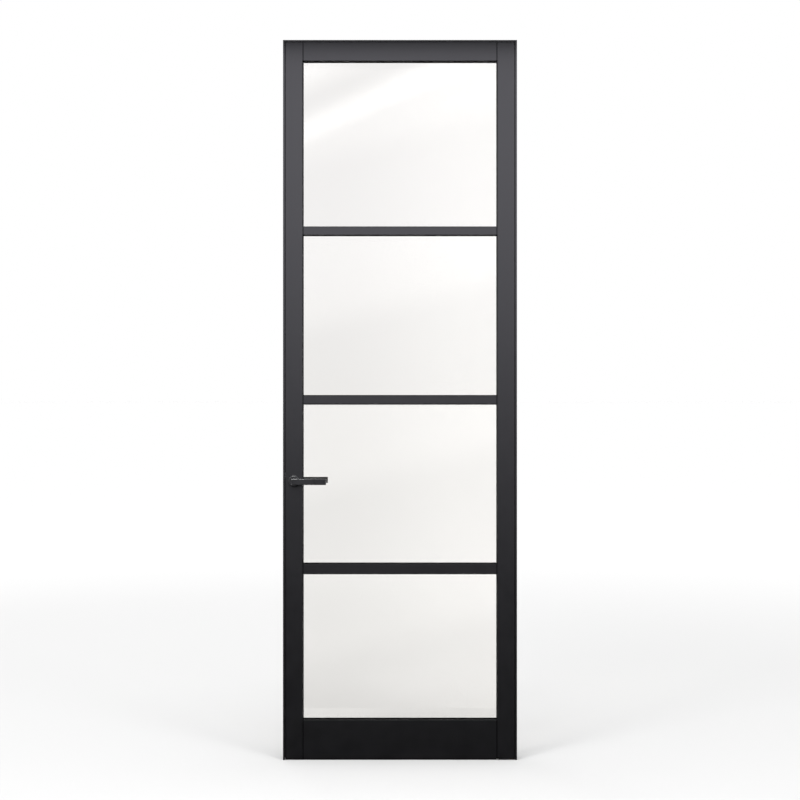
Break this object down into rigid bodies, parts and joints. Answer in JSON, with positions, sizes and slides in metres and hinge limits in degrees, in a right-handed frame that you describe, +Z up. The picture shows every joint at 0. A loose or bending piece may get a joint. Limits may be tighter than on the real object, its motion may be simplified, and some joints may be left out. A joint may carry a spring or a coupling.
{
  "type": "interior door",
  "caption": "Room-high glazed interior door leaf with crossing glazing bars and a lever handle, hung on hidden corner pivots in a slim black frame",
  "frame": {"origin": "on the floor under the middle of the closed leaf, at its mid-thickness", "axes": "+X to the right along the doorway seen from the side the leaf opens to, +Y through the doorway away from that side, +Z up"},
  "size_m": [0.846, 0.144, 2.603],
  "materials": {
    "frame_coating": "fine matt black powder coat",
    "lacquer": "satin black lacquer",
    "glass": "clear toughened glass",
    "rubber": "matt black rubber",
    "lever_coating": "matt black coat",
    "steel": "brushed",
    "zinc_steel": "zinc plated",
    "brass": "turned",
    "raw_aluminium": "sawn",
    "raw_wood": "bare"
  },
  "bodies": {
    "frame": {"lock_jamb": "frame_coating", "pivot_jamb": "frame_coating", "frame_head": "frame_coating", "lock_stop": "frame_coating", "pivot_stop": "frame_coating", "head_stop": "frame_coating", "stop_screws": "steel", "corner_keys": "raw_aluminium", "lock_side_seal": "rubber", "head_seal": "rubber", "pivot_side_seal": "rubber", "strike_plate": "steel", "strike_screws": "steel", "top_pivot_pin": "steel", "floor_pivot": "lever_coating", "thrust_washer": "brass"},
    "leaf": {"lock_stile": "lacquer", "pivot_stile": "lacquer", "top_rail": "lacquer", "bottom_rail": "lacquer", "upper_bar": "lacquer", "middle_bar": "lacquer", "lower_bar": "lacquer", "rail_dowels": "raw_wood", "pane_1": "glass", "pane_2": "glass", "pane_3": "glass", "pane_4": "glass", "bottom_seal": "rubber", "gasket_1": "rubber", "gasket_2": "rubber", "gasket_3": "rubber", "gasket_4": "rubber", "bead_1_top": "lacquer", "bead_1_bottom": "lacquer", "bead_1_sides": "lacquer", "bead_2_top": "lacquer", "bead_2_bottom": "lacquer", "bead_2_sides": "lacquer", "bead_3_top": "lacquer", "bead_3_bottom": "lacquer", "bead_3_sides": "lacquer", "bead_4_top": "lacquer", "bead_4_bottom": "lacquer", "bead_4_sides": "lacquer", "top_bush": "brass", "bottom_bush": "brass", "lock_case": "zinc_steel", "lock_cover": "zinc_steel", "lock_faceplate": "steel", "faceplate_screws": "steel", "latch_spring": "zinc_steel", "front_rosette": "lever_coating", "back_rosette": "lever_coating"},
    "lever_set": {"front_lever": "lever_coating", "back_lever": "lever_coating", "spindle": "zinc_steel", "follower": "zinc_steel", "grub_screws": "lever_coating"},
    "latch": {"latch_bolt": "steel"}
  },
  "joints": [
    {"name": "leaf_swing", "type": "hinge", "parent": "frame", "child": "leaf", "pos_m": [0.403, -0.008, 0], "axis": [0, 0, 1], "range_deg": [0, 95]},
    {"name": "lever_turn", "type": "hinge", "parent": "leaf", "child": "lever_set", "pos_m": [-0.3825, 0, 1.008], "axis": [0, 1, 0], "range_deg": [0, 45], "stiffness_Nm_per_rad": 1.5, "springref_deg": -34.38},
    {"name": "latch_slide", "type": "slide", "parent": "leaf", "child": "latch", "axis": [1, 0, 0], "range_m": [0, 0.0085], "stiffness_N_per_m": 200, "springref_m": -0.01, "deforming": ["latch_spring"]}
  ],
  "couplings": [
    {"joint": "latch_slide", "follows": "lever_turn", "m_per_rad": 0.01082}
  ]
}
